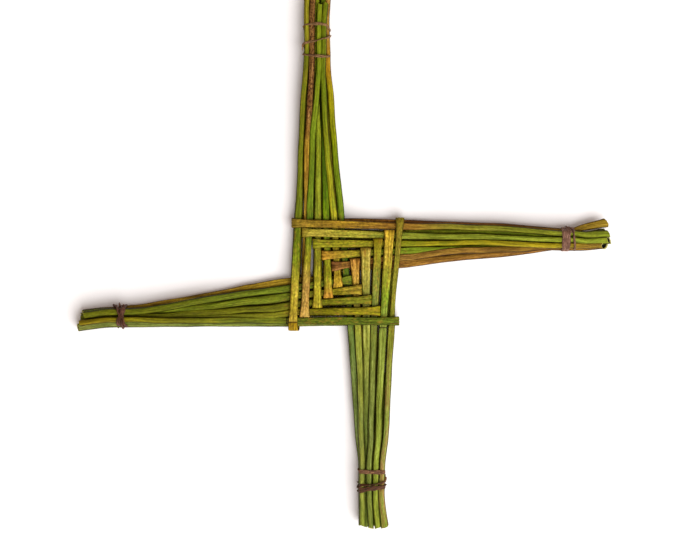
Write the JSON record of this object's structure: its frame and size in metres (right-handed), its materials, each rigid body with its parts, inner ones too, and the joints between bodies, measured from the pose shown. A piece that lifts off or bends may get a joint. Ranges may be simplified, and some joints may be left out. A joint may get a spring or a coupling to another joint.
{
  "type": "woven rush cross",
  "caption": "Four-armed cross woven from folded soft rushes round a square middle, with each arm bound near its end.",
  "frame": {"origin": "middle of the woven square, on the surface that the cross lies on", "axes": "+Z out of the front face, +Y towards the end of the upper arm, +X towards the end of the right arm"},
  "size_m": [0.2655, 0.2663, 0.0103],
  "materials": {
    "rush_centre": "dried green rush stem, satin, finely ridged along its length",
    "rush_right": "half-dried rush stem, straw to green, satin and finely ridged",
    "rush_down": "half-dried rush stem, olive green, satin and finely ridged",
    "rush_left": "half-dried rush stem, dark olive green, satin and finely ridged",
    "rush_up": "half-dried rush stem, yellow green, satin and finely ridged",
    "bast_tie": "twisted strip of brown bast, dull and fibrous"
  },
  "bodies": {
    "root": {"centre_rush": "rush_centre", "right_rush_1": "rush_right", "right_rush_2": "rush_right", "right_rush_3": "rush_right", "right_rush_4": "rush_right", "right_rush_5": "rush_right", "down_rush_1": "rush_down", "down_rush_2": "rush_down", "down_rush_3": "rush_down", "down_rush_4": "rush_down", "down_rush_5": "rush_down", "left_rush_1": "rush_left", "left_rush_2": "rush_left", "left_rush_3": "rush_left", "left_rush_4": "rush_left", "left_rush_5": "rush_left", "up_rush_1": "rush_up", "up_rush_2": "rush_up", "up_rush_3": "rush_up", "up_rush_4": "rush_up", "up_rush_5": "rush_up", "right_tie": "bast_tie", "down_tie": "bast_tie", "left_tie": "bast_tie", "up_tie": "bast_tie"}
  },
  "joints": []
}
